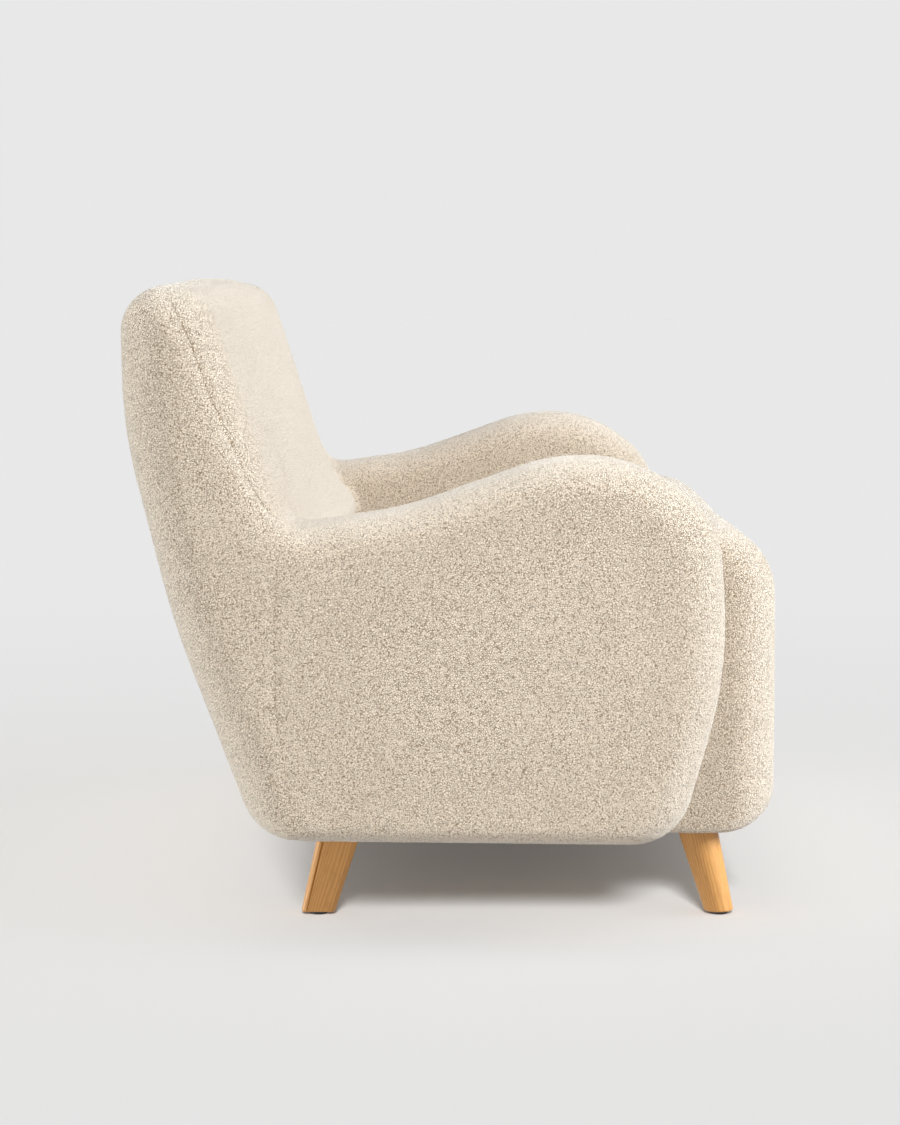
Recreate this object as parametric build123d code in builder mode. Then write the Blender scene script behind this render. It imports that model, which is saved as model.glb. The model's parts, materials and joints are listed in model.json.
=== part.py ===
from build123d import *
import math
import os

# Two-seat lounge sofa: wave-topped arms, a leaning back, one tight seat block and short oak legs.
# +X runs across the width, the front faces -Y, +Z is up, and the origin is on the floor under the middle.
# All sizes are in millimetres.

# Overall size
overall_width = 1500.0
overall_depth = 812.0
overall_height = 805.0
body_clearance = 112.0
side_lift = 10.0

# Fits and thin layers
soft_gap = 0.4
fit_gap = 0.3
cover_wall = 4.0
cloth_wall = 1.2
cover_hem = 80.0
arm_hem = 65.0
cloth_margin = 20.0
cloth_front_margin = 40.0
arm_cloth_lap = 8.5

# Arm outline: runs are measured from the seat's front or from the back's rearmost line
arm_thickness = 180.0
arm_peak_height = 591.0
arm_rear_height = 504.0
arm_setback = 69.0
arm_foot_setback = 142.0
arm_foot_radius = 80.0
arm_belly_height = 319.0
arm_belly_radius = 510.0
arm_nose_setback = 80.0
arm_nose_drop = 76.0
arm_nose_radius = 112.0
arm_rise_setback = 184.0
arm_rise_radius = 190.0
arm_fall_setback = 287.0
arm_fall_radius = 240.0
arm_saddle_run = 343.0
arm_saddle_rise = 22.0
arm_saddle_radius = 400.0
arm_rear_run = 210.0
arm_waist_run = 190.0
arm_waist_height = 365.0
arm_waist_radius = 450.0
arm_heel_run = 218.0
arm_edge_reach = 50.0
arm_edge_draw = 45.0
arm_base_draw = 20.0
arm_crown = 3.0

# Back outline
back_root_run = 216.0
back_root_height = 330.0
back_root_radius = 120.0
back_swell_run = 256.0
back_swell_lift = 8.0
back_swell_radius = 45.0
back_lean_run = 206.0
back_lean_radius = 280.0
back_top_thickness = 106.0
back_top_radius = 60.0
back_bend_height = 530.0
back_bend_radius = 1050.0
back_heel_run = 168.0
back_heel_radius = 95.0
back_edge_reach = 90.0
back_edge_draw = 65.0
back_front_draw = 30.0
back_heel_draw = 30.0
back_base_draw = 14.0
back_crown = 3.0

# Seat outline
seat_front_height = 500.0
seat_rear_height = 444.0
seat_crown_setback = 286.0
seat_crown_radius = 700.0
seat_nose_radius = 90.0
seat_toe_radius = 40.0
seat_rear_radius = 25.0
seat_edge_reach = 45.0
seat_edge_draw = 26.0
seat_front_draw = 30.0
seat_crown = 4.0
small_radius = 5.0

# Seat frame
rail_wall = 22.0
rail_height = 180.0
rail_easing = 4.0
front_padding = 46.0
stretcher_height = 60.0
stretcher_spread = 380.0
block_reach = 70.0
block_height = 45.0

# Legs, glides and their bolts
leg_inset = 45.0
leg_side_splay = 12.0
front_leg_setback = 95.0
front_leg_splay = 28.0
front_leg_top = 52.0
front_leg_foot = 37.0
rear_leg_run = 264.0
rear_leg_rake = 29.0
rear_leg_top_depth = 55.0
rear_leg_top_width = 46.0
rear_leg_foot_depth = 43.0
rear_leg_foot_width = 33.0
rear_leg_easing = 7.0
foot_easing = 2.5
edge_line_top_setback = 9.0
edge_line_top_width = 4.0
edge_line_foot_setback = 7.0
edge_line_foot_width = 2.0
edge_line_slope = 0.6
glide_diameter = 22.0
glide_height = 4.0
glide_pin = 3.0
glide_pin_reach = 14.0
bolt_diameter = 8.0
leg_bolt_reach = 40.0
nut_flange = 22.0
nut_flange_wall = 1.6
nut_barrel = 11.0
nut_reach = 12.0
bolt_tail = 3.0
bolt_head = 13.0
bolt_head_height = 5.3
washer_diameter = 20.0
washer_wall = 1.6

# Seat suspension
spring_count = 5
spring_wire = 4.0
spring_bar = 44.0
spring_pitch = 22.0
clip_width = 14.0
clip_depth = 12.0
clip_height = 8.0
felt_wall = 6.0

# Arm frame
arm_padding = 40.0
arm_inner_padding = 36.0
arm_outer_padding = 29.0
ply_wall = 12.0
batten_depth = 40.0
arm_base_lift = 10.0
bolt_batten_height = 80.0
bolt_batten_lift = 40.0
bolt_batten_inset = 54.0
arm_bolt_count = 3
insert_diameter = 12.0
insert_length = 16.0

# Back frame
rib_wall = 22.0
rib_end_inset = 100.0
rib_inner_spread = 480.0
rib_foot_lift = 20.0
rib_top_drop = 45.0
rib_top_width = 44.0
rib_rear_padding = 16.0
back_rail_wall = 22.0
back_rail_height = 60.0
lower_rail_lift = 96.0
lumbar_rail_rise = 80.0
top_rail_drop = 10.0
webbing_count = 4
webbing_width = 50.0
webbing_wall = 2.0
back_bolt_spread = 900.0
back_bolt_inner_spread = 300.0

# Seam along the ends of the back, between the inside and the outside panel
seam_root_run = 200.0
seam_waist_run = 180.0
seam_turn_run = 202.0
seam_mid_drop = 165.0
seam_setback = 32.0
seam_top_run = 62.0

# Places worked out from the sizes above
front = -overall_depth / 2
rear = overall_depth / 2
half_width = overall_width / 2
arm_inner = half_width - arm_thickness
seat_half = arm_inner - soft_gap
lining = cover_wall + soft_gap
frame_floor = body_clearance + lining
side_floor = body_clearance + side_lift
frame_half = seat_half - lining
rail_top = frame_floor + rail_height
front_rail_face = front + cover_wall + front_padding
front_rail_back = front_rail_face + rail_wall
seat_rear = rear - back_root_run - soft_gap
rear_rail_back = seat_rear - lining
rear_rail_face = rear_rail_back - rail_wall
side_rail_inner = frame_half - rail_wall
cloth_top = body_clearance - soft_gap
cloth_floor = cloth_top - cloth_wall
arm_cloth_top = side_floor - soft_gap
leg_top = cloth_floor - fit_gap
leg_x = arm_inner - leg_inset
front_leg_y = front + front_leg_setback
rear_leg_y = rear - rear_leg_run
bolt_hole = bolt_diameter + 2 * fit_gap

# Corners of the side outlines as (y, z, radius), anticlockwise with y to the right and z up
arm_corners = [
    (front + arm_foot_setback, side_floor, arm_foot_radius),
    (rear - arm_heel_run, side_floor, small_radius),
    (rear - arm_waist_run, arm_waist_height, arm_waist_radius),
    (rear - arm_rear_run, arm_rear_height, small_radius),
    (rear - arm_saddle_run, arm_rear_height + arm_saddle_rise, arm_saddle_radius),
    (front + arm_fall_setback, arm_peak_height, arm_fall_radius),
    (front + arm_rise_setback, arm_peak_height, arm_rise_radius),
    (front + arm_nose_setback, arm_peak_height - arm_nose_drop, arm_nose_radius),
    (front + arm_setback, arm_belly_height, arm_belly_radius),
]
arm_draws = [arm_base_draw, 0, 0] + [arm_edge_draw] * 6
arm_crowns = [0, 0, 0] + [arm_crown] * 6

swell_height = seat_rear_height + back_swell_lift
back_corners = [
    (rear - back_root_run, side_floor, small_radius),
    (rear - back_heel_run, side_floor, back_heel_radius),
    (rear, back_bend_height, back_bend_radius),
    (rear, overall_height, back_top_radius),
    (rear - back_top_thickness, overall_height, back_top_radius),
    (rear - back_lean_run, arm_rear_height, back_lean_radius),
    (rear - back_swell_run, swell_height, back_swell_radius),
    (rear - back_root_run, back_root_height, back_root_radius),
]
back_draws = [back_base_draw, back_heel_draw, back_edge_draw, back_edge_draw, back_front_draw, 0, 0, 0]
back_crowns = [0, back_crown, back_crown, back_crown, back_crown, 0, 0, 0]

# The seat's rear follows the back's swell, a soft gap in front of it
swell_share = (seat_rear_height - back_root_height) / (swell_height - back_root_height)
seat_rear_top = seat_rear - (back_swell_run - back_root_run) * swell_share
seat_corners = [
    (front, body_clearance, seat_toe_radius),
    (seat_rear, body_clearance, small_radius),
    (seat_rear, back_root_height, back_root_radius),
    (seat_rear_top, seat_rear_height, seat_rear_radius),
    (front + seat_crown_setback, seat_front_height, seat_crown_radius),
    (front, seat_front_height, seat_nose_radius),
]
seat_draws = [0, 0, 0, seat_edge_draw, seat_edge_draw, seat_front_draw]
seat_crowns = [0, 0, 0, seat_crown, seat_crown, 0]

# Angles round the quarter turn from an end face to the shoulder of a soft form
edge_angles = (90, 60, 30, 0)
least_radius = 3.0
edge_use = 0.96


def inset_outline(corners, insets):
    """Corner points and radii with each side moved inwards by its own inset.

    Side i runs from corner i to the next one. An outer corner's radius shrinks and a hollow one's
    grows. Every radius is limited by the sides that it lies between.
    """
    count = len(corners)
    sides = []
    for i in range(count):
        (y0, z0, _), (y1, z1, _) = corners[i], corners[(i + 1) % count]
        length = math.hypot(y1 - y0, z1 - z0)
        along = ((y1 - y0) / length, (z1 - z0) / length)
        start = (y0 - along[1] * insets[i], z0 + along[0] * insets[i])
        sides.append((start, along))
    points, radii, turns = [], [], []
    for i in range(count):
        (p, d), (q, e) = sides[i - 1], sides[i]
        turn = d[0] * e[1] - d[1] * e[0]
        reach = ((q[0] - p[0]) * e[1] - (q[1] - p[1]) * e[0]) / turn
        points.append((p[0] + d[0] * reach, p[1] + d[1] * reach))
        shift = (insets[i - 1] + insets[i]) / 2
        radii.append(max(corners[i][2] - math.copysign(shift, turn), least_radius))
        turns.append(math.acos(max(-1.0, min(1.0, d[0] * e[0] + d[1] * e[1]))))
    tangents = [radius * math.tan(turn / 2) for radius, turn in zip(radii, turns)]
    shares = [1.0] * count
    for i in range(count):
        after = (i + 1) % count
        room = edge_use * math.dist(points[i], points[after]) / (tangents[i] + tangents[after])
        shares[i] = min(shares[i], room)
        shares[after] = min(shares[after], room)
    return points, [radius * share for radius, share in zip(radii, shares)]


def outline_prism(corners, insets, x_from, x_to):
    """Straight solid of a side outline between two places across the width."""
    points, radii = inset_outline(corners, insets)
    with BuildPart() as prism:
        with BuildSketch(Plane.YZ.offset(x_from)):
            with BuildLine():
                FilletPolyline(*points, radius=radii, close=True)
            make_face()
        extrude(amount=x_to - x_from)
    return prism.part


def soft_form(corners, draws, crowns, x_from, x_to, reach, wall):
    """Padded form lofted across the width: crowned in the middle, drawn in at both ends."""
    length = x_to - x_from - 2 * wall
    places = []
    for angle in edge_angles:
        offset = reach * (1 - math.sin(math.radians(angle)))
        places.append((offset, 1 - math.cos(math.radians(angle)), 1))
    far_side = [(length - offset, drawn, flat) for offset, drawn, flat in reversed(places)]
    places = places + [(length / 2, 0, 0)] + far_side
    with BuildPart() as form:
        for offset, drawn, flat in places:
            insets = [wall + draw * drawn + crown * flat for draw, crown in zip(draws, crowns)]
            points, radii = inset_outline(corners, insets)
            with BuildSketch(Plane.YZ.offset(x_from + wall + offset)):
                with BuildLine():
                    FilletPolyline(*points, radius=radii, close=True)
                make_face()
        loft(ruled=True)
    return form.part


def arm_form(wall):
    """Left arm with its surface moved inwards by a wall."""
    return soft_form(arm_corners, arm_draws, arm_crowns, arm_inner, half_width, arm_edge_reach, wall)


def arm_notches(wall):
    """Room for the rear ends of both arms, wider than the arms by a wall."""
    insets = [-wall] * len(arm_corners)
    left = outline_prism(arm_corners, insets, arm_inner - wall, half_width + wall)
    return [left, left.mirror(Plane.YZ)]


def back_form(wall):
    """Back with its surface moved inwards by a wall, cut out for the arms."""
    form = soft_form(back_corners, back_draws, back_crowns, -half_width, half_width, back_edge_reach, wall)
    with BuildPart() as notched:
        add(form)
        for notch in arm_notches(soft_gap + wall):
            add(notch, mode=Mode.SUBTRACT)
    return notched.part


def seat_form(wall):
    """Seat block with its surface moved inwards by a wall."""
    return soft_form(seat_corners, seat_draws, seat_crowns, -seat_half, seat_half, seat_edge_reach, wall)


def block(x_span, y_span, z_span, mode=Mode.ADD):
    """Box between three pairs of limits."""
    spans = (x_span, y_span, z_span)
    with Locations(tuple((low + high) / 2 for low, high in spans)):
        Box(*(high - low for low, high in spans), mode=mode)


def rod(start, end, diameter, mode=Mode.ADD):
    """Round bar between two points."""
    axis = Vector(*end) - Vector(*start)
    with Locations(Plane(origin=start, z_dir=axis).location):
        Cylinder(diameter / 2, axis.length, align=(Align.CENTER, Align.CENTER, Align.MIN), mode=mode)


def keep(builder, label):
    """Name a finished piece and write it."""
    builder.part.label = label
    export_step(builder.part, f"parts/{label}.step")


def keep_pair(builder, label):
    """Write a piece of the left side, and its mirror image for the right side."""
    keep(builder, f"left_{label}")
    with BuildPart() as twin:
        add(builder.part.mirror(Plane.YZ))
    keep(twin, f"right_{label}")


os.makedirs("parts", exist_ok=True)

# Bolt places, each as the point under the head and the axis that the bolt runs along
leg_bolt_spots = [(side * leg_x, y) for y in (front_leg_y, rear_leg_y) for side in (-1, 1)]
bolt_batten_front = front + arm_foot_setback + bolt_batten_inset
bolt_batten_back = rear - arm_heel_run - bolt_batten_inset
bolt_batten_floor = frame_floor + bolt_batten_lift
arm_bolt_z = bolt_batten_floor + bolt_batten_height / 2
arm_bolt_step = (bolt_batten_back - bolt_batten_front) / arm_bolt_count
arm_bolt_ys = [bolt_batten_front + arm_bolt_step * (i + 0.5) for i in range(arm_bolt_count)]
arm_bolt_spots = [(side * side_rail_inner, y, arm_bolt_z, side) for y in arm_bolt_ys for side in (-1, 1)]
lower_rail_floor = frame_floor + lower_rail_lift
lower_rail_face = rear - back_root_run + lining
lower_rail_back = lower_rail_face + back_rail_wall
back_bolt_z = lower_rail_floor + back_rail_height / 2
back_bolt_spreads = (back_bolt_spread, back_bolt_inner_spread)
back_bolt_xs = [side * spread / 2 for spread in back_bolt_spreads for side in (-1, 1)]
arm_batten_face = arm_inner + lining
arm_bolt_end = arm_batten_face + insert_length


def cut_bolt_holes():
    """Clearance holes for every bolt through the piece being made."""
    for x, y in leg_bolt_spots:
        rod((x, y, leg_top - leg_bolt_reach), (x, y, frame_floor + block_height), bolt_hole, Mode.SUBTRACT)
    for x, y, z, side in arm_bolt_spots:
        rod((x, y, z), (side * arm_bolt_end, y, z), bolt_hole, Mode.SUBTRACT)
    for x in back_bolt_xs:
        start = (x, rear_rail_face, back_bolt_z)
        rod(start, (x, lower_rail_back, back_bolt_z), bolt_hole, Mode.SUBTRACT)


# Seat frame
with BuildPart() as front_rail:
    block((-frame_half, frame_half), (front_rail_face, front_rail_back), (frame_floor, rail_top))
    fillet(front_rail.faces().sort_by(Axis.Y)[0].edges().filter_by(Axis.X), radius=rail_easing)
keep(front_rail, "front_seat_rail")

with BuildPart() as rear_rail:
    block((-frame_half, frame_half), (rear_rail_face, rear_rail_back), (frame_floor, rail_top))
    fillet(rear_rail.faces().sort_by(Axis.Y)[-1].edges().filter_by(Axis.X), radius=rail_easing)
    cut_bolt_holes()
keep(rear_rail, "rear_seat_rail")

with BuildPart() as side_rail:
    block((side_rail_inner, frame_half), (front_rail_back, rear_rail_face), (frame_floor, rail_top))
    cut_bolt_holes()
keep_pair(side_rail, "side_seat_rail")

with BuildPart() as stretchers:
    for side in (-1, 1):
        middle = side * stretcher_spread / 2
        x_span = (middle - rail_wall / 2, middle + rail_wall / 2)
        block(x_span, (front_rail_back, rear_rail_face), (frame_floor, frame_floor + stretcher_height))
keep(stretchers, "seat_stretchers")

with BuildPart() as corner_blocks:
    block_top = frame_floor + block_height
    for side in (-1, 1):
        x_span = sorted((side * side_rail_inner, side * (side_rail_inner - block_reach)))
        block(x_span, (front_rail_back, front_rail_back + block_reach), (frame_floor, block_top))
        block(x_span, (rear_rail_face - block_reach, rear_rail_face), (frame_floor, block_top))
    cut_bolt_holes()
    for x, y in leg_bolt_spots:
        socket_floor = (x, y, block_top - nut_reach - fit_gap)
        rod(socket_floor, (x, y, block_top), nut_barrel + 2 * fit_gap, Mode.SUBTRACT)
keep(corner_blocks, "corner_blocks")

# Legs stand under the corner blocks, splayed outwards
front_foot_y = front_leg_y - front_leg_splay
rear_foot_y = rear_leg_y + rear_leg_rake
foot_x = leg_x + leg_side_splay
pin_hole = glide_pin + 2 * fit_gap
pin_hole_end = glide_height + glide_pin_reach

with BuildPart() as front_leg:
    with BuildSketch(Plane((foot_x, front_foot_y, glide_height))):
        Circle(front_leg_foot / 2)
    with BuildSketch(Plane((leg_x, front_leg_y, leg_top))):
        Circle(front_leg_top / 2)
    loft()
    fillet(front_leg.faces().sort_by(Axis.Z)[0].edges(), radius=foot_easing)
    cut_bolt_holes()
    rod((foot_x, front_foot_y, 0), (foot_x, front_foot_y, pin_hole_end), pin_hole, Mode.SUBTRACT)
keep_pair(front_leg, "front_leg")



def edge_line_corners(x, y, setback, width):
    """Triangle of the line cut along a rear leg's outer face, from the face's rear edge."""
    middle = y - setback
    depth = width * edge_line_slope
    return [(x + depth, middle - width), (x + depth, middle + width), (x - depth, middle)]


foot_edge = (foot_x + rear_leg_foot_width / 2, rear_foot_y + rear_leg_foot_depth / 2)
top_edge = (leg_x + rear_leg_top_width / 2, rear_leg_y + rear_leg_top_depth / 2)
with BuildPart() as edge_line:
    with BuildSketch(Plane((0, 0, glide_height))):
        Polygon(*edge_line_corners(*foot_edge, edge_line_foot_setback, edge_line_foot_width), align=None)
    with BuildSketch(Plane((0, 0, leg_top))):
        Polygon(*edge_line_corners(*top_edge, edge_line_top_setback, edge_line_top_width), align=None)
    loft(ruled=True)

with BuildPart() as rear_leg:
    with BuildSketch(Plane((foot_x, rear_foot_y, glide_height))):
        RectangleRounded(rear_leg_foot_width, rear_leg_foot_depth, rear_leg_easing)
    with BuildSketch(Plane((leg_x, rear_leg_y, leg_top))):
        RectangleRounded(rear_leg_top_width, rear_leg_top_depth, rear_leg_easing)
    loft()
    fillet(rear_leg.faces().sort_by(Axis.Z)[0].edges(), radius=foot_easing)
    add(edge_line.part, mode=Mode.SUBTRACT)
    cut_bolt_holes()
    rod((foot_x, rear_foot_y, 0), (foot_x, rear_foot_y, pin_hole_end), pin_hole, Mode.SUBTRACT)
keep_pair(rear_leg, "rear_leg")

with BuildPart() as glides:
    for y in (front_foot_y, rear_foot_y):
        for side in (-1, 1):
            rod((side * foot_x, y, 0), (side * foot_x, y, glide_height), glide_diameter)
            pin_end = (side * foot_x, y, pin_hole_end - fit_gap)
            rod((side * foot_x, y, 0), pin_end, glide_pin)
keep(glides, "leg_glides")

with BuildPart() as leg_bolts:
    for x, y in leg_bolt_spots:
        bolt_end = block_top + nut_flange_wall + bolt_tail
        rod((x, y, leg_top - leg_bolt_reach + fit_gap), (x, y, bolt_end), bolt_diameter)
keep(leg_bolts, "leg_hanger_bolts")

with BuildPart() as leg_nuts:
    for x, y in leg_bolt_spots:
        rod((x, y, block_top - nut_reach), (x, y, block_top), nut_barrel)
        rod((x, y, block_top), (x, y, block_top + nut_flange_wall), nut_flange)
        rod((x, y, frame_floor), (x, y, block_top + nut_flange_wall + bolt_tail), bolt_hole, Mode.SUBTRACT)
keep(leg_nuts, "leg_tee_nuts")

# Zigzag springs between clips on the front and rear rails
spring_z = rail_top + clip_height / 2
spring_front = (front_rail_face + front_rail_back) / 2
spring_back = (rear_rail_face + rear_rail_back) / 2
spring_length = spring_back - spring_front
half_turns = 2 * round(spring_length / spring_pitch / 2)
turn_diameter = spring_length / half_turns
spring_step = 2 * side_rail_inner / spring_count
spring_xs = [-side_rail_inner + spring_step * (i + 0.5) for i in range(spring_count)]

with BuildPart() as one_spring:
    with BuildLine(Plane((0, spring_front, spring_z))) as zigzag:
        for i in range(half_turns + 1):
            side = 1 if i % 2 == 0 else -1
            y = i * turn_diameter
            Line((-side * spring_bar / 2, y), (side * spring_bar / 2, y))
            if i < half_turns:
                bulge = side * (spring_bar / 2 + turn_diameter / 2)
                end = (side * spring_bar / 2, y + turn_diameter)
                ThreePointArc((side * spring_bar / 2, y), (bulge, y + turn_diameter / 2), end)
    with BuildSketch(Plane(zigzag.wires()[0] @ 0, z_dir=zigzag.wires()[0] % 0)):
        Circle(spring_wire / 2)
    sweep(path=zigzag.wires()[0])

with BuildPart() as springs:
    with Locations([(x, 0, 0) for x in spring_xs]):
        add(one_spring.part)
keep(springs, "seat_springs")

with BuildPart() as clips:
    for x in spring_xs:
        for y in (spring_front, spring_back):
            x_span = (x - clip_width / 2, x + clip_width / 2)
            block(x_span, (y - clip_depth / 2, y + clip_depth / 2), (rail_top, rail_top + clip_height))
            groove = spring_wire + 2 * fit_gap
            rod((x_span[0], y, spring_z), (x_span[1], y, spring_z), groove, Mode.SUBTRACT)
keep(clips, "spring_clips")

felt_floor = rail_top + clip_height
felt_top = felt_floor + felt_wall
with BuildPart() as felt:
    block((-frame_half, frame_half), (front_rail_face, rear_rail_back), (felt_floor, felt_top))
keep(felt, "seat_insulator_felt")

# Seat foam sits on the felt and covers the front rail
with BuildPart() as seat_foam:
    add(seat_form(lining))
    foam_cut_x = (-half_width, half_width)
    foam_floor = felt_top + fit_gap
    block(foam_cut_x, (front_rail_face - fit_gap, rear), (0, foam_floor), mode=Mode.SUBTRACT)
keep(seat_foam, "seat_foam")

with BuildPart() as seat_cover:
    add(seat_form(0))
    add(seat_form(cover_wall), mode=Mode.SUBTRACT)
    hem_x = (cover_hem - seat_half, seat_half - cover_hem)
    block(hem_x, (front + cover_hem, seat_rear - cover_hem), (0, frame_floor), mode=Mode.SUBTRACT)
    cut_bolt_holes()
keep(seat_cover, "seat_cover")

with BuildPart() as seat_cloth:
    cloth_x = seat_half - cloth_margin
    cloth_y = (front + cloth_front_margin, seat_rear - cloth_margin)
    block((-cloth_x, cloth_x), cloth_y, (cloth_floor, cloth_top))
    cut_bolt_holes()
keep(seat_cloth, "seat_underside_cloth")

# Arm frame: two profiled panels with battens between them, and a batten that takes the bolts
panel_insets = [lining + arm_base_lift] + [lining, lining] + [arm_padding + cover_wall] * 6
inner_panel_x = (arm_inner + arm_inner_padding, arm_inner + arm_inner_padding + ply_wall)
outer_panel_x = (half_width - arm_outer_padding - ply_wall, half_width - arm_outer_padding)
arm_base = side_floor + lining + arm_base_lift
post_front = front + arm_foot_setback + arm_padding + cover_wall
post_back = rear - arm_heel_run - 2 * lining
batten_top = arm_rear_height - arm_padding - batten_depth

with BuildPart() as inner_panel:
    add(outline_prism(arm_corners, panel_insets, *inner_panel_x))
keep_pair(inner_panel, "arm_inner_panel")

with BuildPart() as outer_panel:
    add(outline_prism(arm_corners, panel_insets, *outer_panel_x))
keep_pair(outer_panel, "arm_outer_panel")

batten_x = (inner_panel_x[1], outer_panel_x[0])
with BuildPart() as arm_posts:
    block(batten_x, (post_front, post_front + batten_depth), (arm_base, batten_top))
    block(batten_x, (post_back - batten_depth, post_back), (arm_base, batten_top))
keep_pair(arm_posts, "arm_posts")

with BuildPart() as arm_battens:
    between = (post_front + batten_depth, post_back - batten_depth)
    block(batten_x, between, (arm_base, arm_base + batten_depth))
    block(batten_x, between, (batten_top - batten_depth, batten_top))
keep_pair(arm_battens, "arm_battens")

with BuildPart() as bolt_batten:
    batten_z = (bolt_batten_floor, bolt_batten_floor + bolt_batten_height)
    block((arm_batten_face, inner_panel_x[0]), (bolt_batten_front, bolt_batten_back), batten_z)
    for y in arm_bolt_ys:
        start = (arm_batten_face, y, arm_bolt_z)
        rod(start, (arm_bolt_end + fit_gap, y, arm_bolt_z), insert_diameter + 2 * fit_gap, Mode.SUBTRACT)
keep_pair(bolt_batten, "arm_bolt_batten")

# Arm foam wraps the frame on its top, front and sides
room_insets = [-body_clearance] + [-arm_padding] * 2 + [arm_padding + cover_wall - fit_gap] * 6
with BuildPart() as arm_foam:
    add(arm_form(lining))
    room = outline_prism(arm_corners, room_insets, inner_panel_x[0] - fit_gap, outer_panel_x[1] + fit_gap)
    add(room, mode=Mode.SUBTRACT)
    batten_room_y = (bolt_batten_front - fit_gap, bolt_batten_back + fit_gap)
    batten_room_z = (batten_z[0] - fit_gap, batten_z[1] + fit_gap)
    block((arm_inner, inner_panel_x[0]), batten_room_y, batten_room_z, mode=Mode.SUBTRACT)
keep_pair(arm_foam, "arm_foam")

with BuildPart() as arm_cover:
    add(arm_form(0))
    add(arm_form(cover_wall), mode=Mode.SUBTRACT)
    opening_y = (front + arm_foot_setback + arm_hem, rear - arm_heel_run - arm_hem)
    opening_x = (arm_inner + arm_hem, half_width - arm_hem)
    block(opening_x, opening_y, (0, side_floor + lining), mode=Mode.SUBTRACT)
    cut_bolt_holes()
keep_pair(arm_cover, "arm_cover")

with BuildPart() as arm_cloth:
    cloth_x = (opening_x[0] - arm_cloth_lap, opening_x[1] + arm_cloth_lap)
    cloth_y = (opening_y[0] - arm_cloth_lap, opening_y[1] + arm_cloth_lap)
    block(cloth_x, cloth_y, (arm_cloth_top - cloth_wall, arm_cloth_top))
keep_pair(arm_cloth, "arm_underside_cloth")

# Bolts with washers and inserts that hold the arms to the side rails
with BuildPart() as arm_bolts:
    for x, y, z, side in arm_bolt_spots:
        head_face = side * (side_rail_inner - washer_wall)
        head_end = head_face - side * bolt_head_height
        rod((head_end, y, z), (head_face, y, z), bolt_head)
        rod((head_face, y, z), (side * (arm_bolt_end - fit_gap), y, z), bolt_diameter)
keep(arm_bolts, "arm_bolts")

with BuildPart() as arm_washers:
    for x, y, z, side in arm_bolt_spots:
        rod((x - side * washer_wall, y, z), (x, y, z), washer_diameter)
        rod((x - side * washer_wall, y, z), (x, y, z), bolt_hole, Mode.SUBTRACT)
keep(arm_washers, "arm_bolt_washers")

with BuildPart() as arm_inserts:
    for x, y, z, side in arm_bolt_spots:
        start, end = (side * arm_batten_face, y, z), (side * arm_bolt_end, y, z)
        rod(start, end, insert_diameter)
        rod(start, end, bolt_hole, Mode.SUBTRACT)
keep(arm_inserts, "arm_bolt_inserts")

# Back frame: profiled ribs that carry a top, a lumbar and a lower rail
rib_front = rear - back_root_run + lining
rib_floor = side_floor + rib_foot_lift
rib_top = overall_height - rib_top_drop
heel_rise = back_bend_height - side_floor
heel_slope = back_heel_run / heel_rise
heel_shift = rib_rear_padding * math.hypot(back_heel_run, heel_rise) / heel_rise
rib_heel = rear - back_heel_run - heel_shift + heel_slope * rib_foot_lift
rib_rear = rear - rib_rear_padding
rib_bend = back_bend_height + (heel_shift - rib_rear_padding) / heel_slope
rib_corners = [
    (rib_front, rib_floor, least_radius),
    (rib_heel, rib_floor, back_heel_radius - rib_rear_padding),
    (rib_rear, rib_bend, back_bend_radius - rib_rear_padding),
    (rib_rear, rib_top, small_radius),
    (rib_rear - rib_top_width, rib_top, small_radius),
    (rib_front, back_root_height, small_radius),
]
rib_lean = math.atan2(rib_rear - rib_top_width - rib_front, rib_top - back_root_height)
lean_plane = Plane(
    origin=(0, rib_front, back_root_height),
    x_dir=(1, 0, 0),
    z_dir=(0, -math.cos(rib_lean), math.sin(rib_lean)),
)
lean_length = (rib_top - back_root_height) / math.cos(rib_lean)
lumbar_low = lumbar_rail_rise
top_rail_low = lean_length - top_rail_drop - back_rail_height
rib_outer_x = half_width - rib_end_inset
rail_half = rib_outer_x + rib_wall / 2


def lean_board(x_half, low, high, depth_from, depth_to, mode=Mode.ADD):
    """Board along the leaning front of the ribs; depth counts from their front edges backwards."""
    size = (2 * x_half, high - low, depth_to - depth_from)
    spot = Location((0, (low + high) / 2, -(depth_from + depth_to) / 2))
    with Locations(lean_plane.location * spot):
        Box(*size, mode=mode)


rib_places = {
    "left_outer": rib_outer_x,
    "left_inner": rib_inner_spread / 2,
    "right_inner": -rib_inner_spread / 2,
    "right_outer": -rib_outer_x,
}
rib_notches = arm_notches(2 * lining)
for place, x in rib_places.items():
    with BuildPart() as rib:
        add(outline_prism(rib_corners, [0] * len(rib_corners), x - rib_wall / 2, x + rib_wall / 2))
        for notch in rib_notches:
            add(notch, mode=Mode.SUBTRACT)
        notch_half = rail_half + rib_wall
        for low in (lumbar_low, top_rail_low):
            span = (low - fit_gap, low + back_rail_height + fit_gap)
            lean_board(notch_half, *span, -fit_gap, back_rail_wall + fit_gap, mode=Mode.SUBTRACT)
        slot_z = (lower_rail_floor - fit_gap, lower_rail_floor + back_rail_height + fit_gap)
        slot_y = (rib_front - fit_gap, lower_rail_back + fit_gap)
        block((-notch_half, notch_half), slot_y, slot_z, mode=Mode.SUBTRACT)
    keep(rib, f"{place}_back_rib")

with BuildPart() as top_rail:
    lean_board(rail_half, top_rail_low, top_rail_low + back_rail_height, 0, back_rail_wall)
keep(top_rail, "back_top_rail")

with BuildPart() as lumbar_rail:
    lean_board(rail_half, lumbar_low, lumbar_low + back_rail_height, 0, back_rail_wall)
    for notch in rib_notches:
        add(notch, mode=Mode.SUBTRACT)
keep(lumbar_rail, "back_lumbar_rail")

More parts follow.
